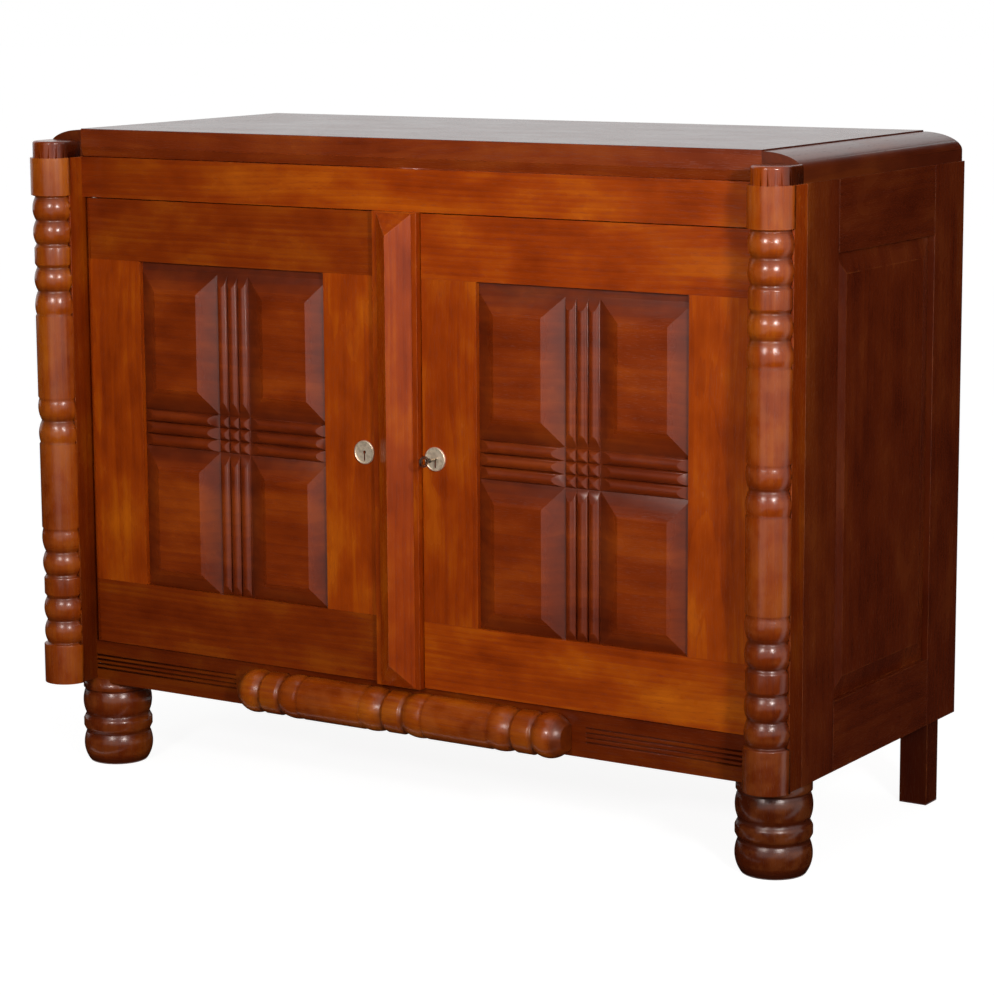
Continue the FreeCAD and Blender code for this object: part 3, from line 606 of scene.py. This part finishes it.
def dressTurning(name, direction, kind, tone):
    piece = newMesh(name + "_turning", mergedCopy(name), turnedCare["smoothAngle"])
    low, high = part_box(name)
    axis = (low + high) / 2
    if kind == "column":
        axis.y = high.y
    if kind == "bobbin":
        axis.y = low.y + (high.z - low.z) / 2
    u, v = (0, 1) if direction == "z" else (1, 2)
    crest, hollow = turnedCare[kind]
    band = turnedCare["crestBand"]
    radii = [hypot(at[u] - axis[u], at[v] - axis[v]) for at in pointsOf(piece)]
    hollows = [inUnit((crest - radius) / (crest - hollow)) for radius in radii]
    edges = [turnedCare["crestWear"] * inUnit((radius - crest + band) / band) for radius in radii]
    rise = turnedCare["columnPaintedLight"] if kind == "column" else 0.0
    tones = [tone + rise * (at.z - axis.z) for at in pointsOf(piece)]
    markWood(piece, name, direction, tones, edges, hollows)
    dress(piece, name, oaks["oak_turned"])


capCare = {"smoothAngle": 40, "frontTone": 0.7, "shade": 1.6}


def dressCap(name):
    # bright at the front, deep in the shade of its two sides
    piece = newMesh(name + "_cap", mergedCopy(name), capCare["smoothAngle"])
    low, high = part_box(name)
    centre, reach = (low.x + high.x) / 2, (high.x - low.x) / 2
    tones = [capCare["frontTone"] - capCare["shade"] * min(1.0, abs(at.x - centre) / reach) ** 3
             for at in pointsOf(piece)]
    none = [0.0] * len(tones)
    markWood(piece, name, "z", tones, none, none)
    dress(piece, name, oaks["oak_turned"])


for name, (direction, kind, tone) in turnings.items():
    dressTurning(name, direction, kind, tone)
for name in ("corner_cap_left", "corner_cap_right"):
    dressCap(name)
print("turned pieces dressed:", len(turnings) + 2)


screwCare = {
    "headRadius": 0.0034, "headRise": 0.0011, "slotWidth": 0.0009,    # metres
    "slotLength": 3.0, "slotLift": 0.9,    # of the radius, and of the rise
    "sides": 20, "rings": 8, "smoothAngle": 35,
    "seed": 5, "halfTurn": 3.14,           # the slots stand any way
    "lockInset": 0.006, "cleatPitch": 0.115,    # metres
}


def makeScrewTree():
    # slotted steel heads on every point, standing on the way that the point faces
    care = screwCare
    tree = bpy.data.node_groups.new("slottedScrews", "GeometryNodeTree")
    face = tree.interface
    face.new_socket("Geometry", in_out="INPUT", socket_type="NodeSocketGeometry")
    for label, value in (("Head Radius", care["headRadius"]), ("Head Rise", care["headRise"]),
                         ("Slot Width", care["slotWidth"])):
        face.new_socket(label, in_out="INPUT", socket_type="NodeSocketFloat").default_value = value
    face.new_socket("Seed", in_out="INPUT", socket_type="NodeSocketInt").default_value = care["seed"]
    face.new_socket("Metal", in_out="INPUT", socket_type="NodeSocketMaterial")
    face.new_socket("Geometry", in_out="OUTPUT", socket_type="NodeSocketGeometry")
    given = tree.nodes.new("NodeGroupInput").outputs
    result = tree.nodes.new("NodeGroupOutput").inputs
    radius, rise, slot = given["Head Radius"], given["Head Rise"], given["Slot Width"]

    # a flattened ball, with a bar cut out of its crown
    ball = {"Segments": care["sides"], "Rings": care["rings"], "Radius": radius}
    ball = nodeIn(tree, "GeometryNodeMeshUVSphere", ball).outputs["Mesh"]
    flat = {"X": 1.0, "Y": 1.0, "Z": mathIn(tree, "DIVIDE", rise, radius)}
    flat = nodeIn(tree, "ShaderNodeCombineXYZ", flat).outputs[0]
    dome = nodeIn(tree, "GeometryNodeTransform", {"Geometry": ball, "Scale": flat}).outputs[0]
    size = {"X": timesIn(tree, radius, care["slotLength"]), "Y": slot, "Z": rise}
    size = nodeIn(tree, "ShaderNodeCombineXYZ", size).outputs[0]
    bar = nodeIn(tree, "GeometryNodeMeshCube", {"Size": size}).outputs["Mesh"]
    lift = nodeIn(tree, "ShaderNodeCombineXYZ", {"Z": timesIn(tree, rise, care["slotLift"])}).outputs[0]
    bar = nodeIn(tree, "GeometryNodeTransform", {"Geometry": bar, "Translation": lift}).outputs[0]
    head = nodeIn(tree, "GeometryNodeMeshBoolean", {"Mesh 1": dome, "Mesh 2": bar}, operation="DIFFERENCE")

    facing = nodeIn(tree, "GeometryNodeInputNamedAttribute", {"Name": "facing"}, data_type="FLOAT_VECTOR")
    facing = facing.outputs["Attribute"]
    stand = nodeIn(tree, "FunctionNodeAlignRotationToVector", {"Vector": facing}, axis="Z").outputs[0]
    chance = nodeIn(tree, "FunctionNodeRandomValue", {"Seed": given["Seed"]}, data_type="FLOAT").outputs[1]
    angle = timesIn(tree, chance, care["halfTurn"])
    spin = nodeIn(tree, "FunctionNodeAxisAngleToRotation", {"Axis": (0, 0, 1), "Angle": angle}).outputs[0]
    whole = {"Rotation": stand, "Rotate By": spin}
    whole = nodeIn(tree, "FunctionNodeRotateRotation", whole, rotation_space="LOCAL").outputs[0]
    placed = {"Points": given["Geometry"], "Instance": head.outputs["Mesh"], "Rotation": whole}
    placed = nodeIn(tree, "GeometryNodeInstanceOnPoints", placed).outputs[0]
    real = nodeIn(tree, "GeometryNodeRealizeInstances", {"Geometry": placed}).outputs[0]
    done = nodeIn(tree, "GeometryNodeSetMaterial", {"Geometry": real, "Material": given["Metal"]})
    tree.links.new(done.outputs[0], result[0])
    return tree


def screwPlaces():
    # for each body: the place of each screw, and the way it faces
    places = {"case": [], "left_door": [], "right_door": []}
    inset = screwCare["lockInset"]
    for side in ("left", "right"):
        low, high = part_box(side + "_door_lock")
        for x in (low.x + inset, high.x - inset):
            for z in (low.z + inset, high.z - inset):
                places[side + "_door"].append(((x, high.y, z), (0, 1, 0)))
    low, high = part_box("shelf_cleats")
    lowTop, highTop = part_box("top_cleats")
    thick = high.z - low.z    # the cleats are square
    count = int((high.y - low.y) / screwCare["cleatPitch"])
    for n in range(count):
        y = low.y + (n + 0.5) * (high.y - low.y) / count
        for x, way in ((low.x + thick, 1), (high.x - thick, -1)):
            places["case"].append(((x, y, (low.z + high.z) / 2), (way, 0, 0)))
        y = lowTop.y + (n + 0.5) * (highTop.y - lowTop.y) / count
        for x in (lowTop.x + thick / 2, highTop.x - thick / 2):
            places["case"].append(((x, y, lowTop.z), (0, 0, -1)))
    return places


def setScrews(tree, body, places):
    work = bmesh.new()
    for place, way in places:
        work.verts.new(place)
    seat = newMesh(body + "_screw_points", work)
    putVector(seat.data, "facing", [way for place, way in places])
    maker = seat.modifiers.new("screws", "NODES")
    maker.node_group = tree
    inputs = {item.name: item.identifier for item in tree.interface.items_tree if item.in_out == "INPUT"}
    maker[inputs["Metal"]] = metals["steel"]
    maker[inputs["Head Radius"]] = screwCare["headRadius"]
    mesh = bpy.data.meshes.new_from_object(seat.evaluated_get(bpy.context.evaluated_depsgraph_get()))
    seat.modifiers.remove(maker)
    bpy.data.objects.remove(seat)
    mesh.shade_smooth()
    mesh.set_sharp_from_angle(angle=radians(screwCare["smoothAngle"]))
    screws = bpy.data.objects.new(body + "_screws", mesh)
    bpy.context.scene.collection.objects.link(screws)
    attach(screws, body)


screwTree = makeScrewTree()
for body, places in screwPlaces().items():
    setScrews(screwTree, body, places)
    print("screws set on", body + ":", len(places))


stageCare = {
    "radius": 40, "sides": 96,            # of the floor, metres
    "tone": 0.34,                         # grey of the floor under the lamps
    "glow": 0.90,                         # added where the floor is seen, so that it looks white
    "skyLight": 0.30, "skySeen": 1.0,     # the sky as a light, and as it is seen
    "clothLift": 0.002, "feltTone": 0.02, "feltRough": 0.9,
}
# black cloth: its corners on the floor, and how high its far side hangs, metres
stageCloths = {
    "leftCloth": (((0.60, -0.32), (-1.9, -6.4), (-5.5, -5.6), (-8.5, -0.7), (-0.68, -0.25)), 16.0),
    "rightCloth": (((0.67, -0.32), (5.2, 2.6), (-0.2, 6.4), (0.2, 0.6)), 4.6),
    "backCloth": (((-0.68, -0.25), (-8.5, -0.7), (-7.5, 6.5), (-0.2, 8.5), (-0.2, 6.4), (0.2, 0.6),
                   (-0.66, 0.30)), 0.0),
    # painted shade: the floor cloth lies where the cabinet's shadow falls, so that reflections see the floor
    # dark there; its wedge in front is a black flag
    "floorCloth": (((-0.68, 0.30), (-0.68, -0.24), (0.58, -0.30), (0.1, -1.5), (1.7, -3.1), (3.6, -0.1),
                    (0.72, -0.28), (0.68, 0.30)), 0.0),
}


def seenIn(tree):
    # 1 where the camera sees a thing, straight or in gloss or glass
    path = nodeIn(tree, "ShaderNodeLightPath").outputs
    mirrored = plusIn(tree, path["Is Glossy Ray"], path["Is Transmission Ray"])
    return plusIn(tree, path["Is Camera Ray"], mirrored, clamp=True)


def makeFloor():
    # pale and soft as the lamps light it, white as it is seen, with the object's shadow kept
    work = bmesh.new()
    bmesh.ops.create_circle(work, cap_ends=True, radius=stageCare["radius"], segments=stageCare["sides"])
    floor = newMesh("studioFloor", work)
    material = bpy.data.materials.new("paleFloor")
    material.use_nodes = True
    tree = material.node_tree
    tree.nodes.clear()
    plain = nodeIn(tree, "ShaderNodeBsdfDiffuse", {"Color": (*[stageCare["tone"]] * 3, 1)}).outputs[0]
    glow = nodeIn(tree, "ShaderNodeEmission", {"Strength": stageCare["glow"]}).outputs[0]
    bright = nodeIn(tree, "ShaderNodeAddShader", {0: plain, 1: glow}).outputs[0]
    mix = nodeIn(tree, "ShaderNodeMixShader", {0: seenIn(tree), 1: plain, 2: bright}).outputs[0]
    nodeIn(tree, "ShaderNodeOutputMaterial", {0: mix})
    floor.data.materials.append(material)


def makeCloth(name, corners, rise, felt):
    # black cloth beside the paper keeps the wood's reflections deep, and only reflections see it
    work = bmesh.new()
    base = [work.verts.new((x, y, stageCare["clothLift"])) for x, y in corners]
    work.faces.new(base)
    if rise:
        far = base[1:-1]
        raised = [work.verts.new((vertex.co.x, vertex.co.y, rise)) for vertex in far]
        for n in range(len(far) - 1):
            work.faces.new([far[n], far[n + 1], raised[n + 1], raised[n]])
    cloth = newMesh(name, work)
    cloth.data.materials.append(felt)
    cloth.visible_camera = cloth.visible_diffuse = cloth.visible_shadow = False


def makeFelt():
    felt, tree, shader = newMaterial("blackFelt")
    shader["Base Color"].default_value = (*[stageCare["feltTone"]] * 3, 1)
    shader["Roughness"].default_value = stageCare["feltRough"]
    shader["Specular IOR Level"].default_value = 0.0
    return felt


def makeSky():
    world = bpy.data.worlds.new("studioSky")
    bpy.context.scene.world = world
    world.use_nodes = True
    tree = world.node_tree
    tree.nodes.clear()
    white = (1, 1, 1, 1)
    ambient = nodeIn(tree, "ShaderNodeBackground", {"Color": white, "Strength": stageCare["skyLight"]})
    paper = nodeIn(tree, "ShaderNodeBackground", {"Color": white, "Strength": stageCare["skySeen"]})
    mix = nodeIn(tree, "ShaderNodeMixShader", {0: seenIn(tree), 1: ambient.outputs[0], 2: paper.outputs[0]})
    nodeIn(tree, "ShaderNodeOutputWorld", {0: mix.outputs[0]})


lamps = {
    # place, aim, width and height in metres, power in watts, spread in degrees
    "leftSoftBox": ((0.34, -3.34, 1.61), (0.05, -0.2, 0.98), (0.36, 0.36), 5.0, 64),
    "rightSoftBox": ((2.93, -2.32, 1.61), (0.35, -0.2, 0.98), (0.36, 0.36), 7.6, 64),
    "leftVeil": ((0.32, -3.50, 1.66), (0.05, -0.2, 0.6), (1.7, 0.5), 6.5, 180),
    "rightVeil": ((3.06, -2.42, 1.66), (0.35, -0.2, 0.6), (1.7, 0.5), 9.5, 180),
    # warm cards that light no surface and show only in highlights
    "leftCard": ((0.36, -3.42, 1.64), (0.05, -0.2, 0.6), (0.9, 0.45), 16.0, 180),
    "rightCard": ((3.00, -2.38, 1.64), (0.35, -0.2, 0.6), (0.9, 0.45), 23.0, 180),
}
cardColour = (1.0, 0.64, 0.48)


def makeLamp(name, place, aim, sides, power, spread):
    data = bpy.data.lights.new(name, "AREA")
    data.shape = "RECTANGLE"
    data.size, data.size_y = sides
    data.spread = radians(spread)
    data.energy = power
    lamp = bpy.data.objects.new(name, data)
    lamp.location = place
    lamp.rotation_euler = (Vector(aim) - Vector(place)).to_track_quat("-Z", "Y").to_euler()
    lamp.visible_camera = False
    if name.endswith("Card"):
        lamp.visible_diffuse = False
        data.color = cardColour
    bpy.context.scene.collection.objects.link(lamp)


makeFloor()
blackFelt = makeFelt()
for name, (corners, rise) in stageCloths.items():
    makeCloth(name, corners, rise, blackFelt)
makeSky()
for name, facts in lamps.items():
    makeLamp(name, *facts)
print("studio ready:", len(stageCloths), "cloths,", len(lamps), "lamps")
